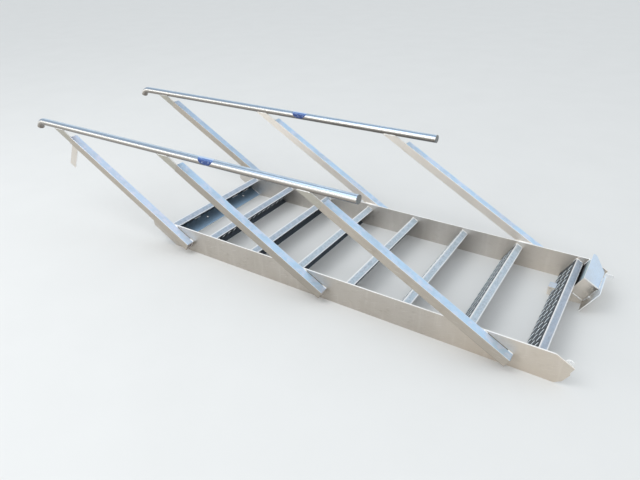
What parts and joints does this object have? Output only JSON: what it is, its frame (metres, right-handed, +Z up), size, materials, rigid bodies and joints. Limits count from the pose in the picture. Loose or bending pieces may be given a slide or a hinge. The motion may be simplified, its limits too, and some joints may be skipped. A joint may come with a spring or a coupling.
{
  "type": "aluminium boarding stair with handrails",
  "caption": "Steep straight stair of aluminium, lying on its stringers, with perforated treads, leaning posts, tube handrails and a foot bracket.",
  "frame": {"origin": "under the middle of the stair, on the floor that its stringers lie on", "axes": "+X along the stringers towards the foot end, +Y to the right of someone who climbs, +Z up as stored"},
  "size_m": [2.7792, 0.747, 0.531],
  "materials": {
    "stringer_sheet": "mill finish",
    "tread_sheet": "mill finish, perforated",
    "post_tube": "mill finish",
    "rail_tube": "brushed along its length",
    "rail_plug": "grey",
    "bolt": "dull zinc",
    "flat_bar": "mill finish",
    "end_plate": "mill finish",
    "foot_sheet": "mill finish"
  },
  "bodies": {
    "root": {"stringer_left": "stringer_sheet", "stringer_right": "stringer_sheet", "end_plate": "end_plate", "tread_1": "tread_sheet", "tread_2": "tread_sheet", "tread_3": "tread_sheet", "tread_4": "tread_sheet", "tread_5": "tread_sheet", "tread_6": "tread_sheet", "tread_7": "tread_sheet", "tread_8": "tread_sheet", "post_left_1": "post_tube", "post_left_2": "post_tube", "post_left_3": "post_tube", "post_right_1": "post_tube", "post_right_2": "post_tube", "post_right_3": "post_tube", "rail_bracket_left_1": "flat_bar", "rail_bracket_left_2": "flat_bar", "rail_bracket_left_3": "flat_bar", "rail_bracket_right_1": "flat_bar", "rail_bracket_right_2": "flat_bar", "rail_bracket_right_3": "flat_bar", "handrail_left": "rail_tube", "handrail_right": "rail_tube", "rail_bend_left": "rail_tube", "rail_bend_right": "rail_tube", "rail_plug_left": "rail_plug", "rail_plug_right": "rail_plug", "landing_tie": "flat_bar", "foot_box": "foot_sheet", "foot_face_plate": "foot_sheet", "sole_plate": "foot_sheet", "runner": "foot_sheet", "runner_stub": "foot_sheet", "sole_bolt": "bolt", "foot_eye": "foot_sheet", "foot_tongue": "foot_sheet"}
  },
  "joints": []
}
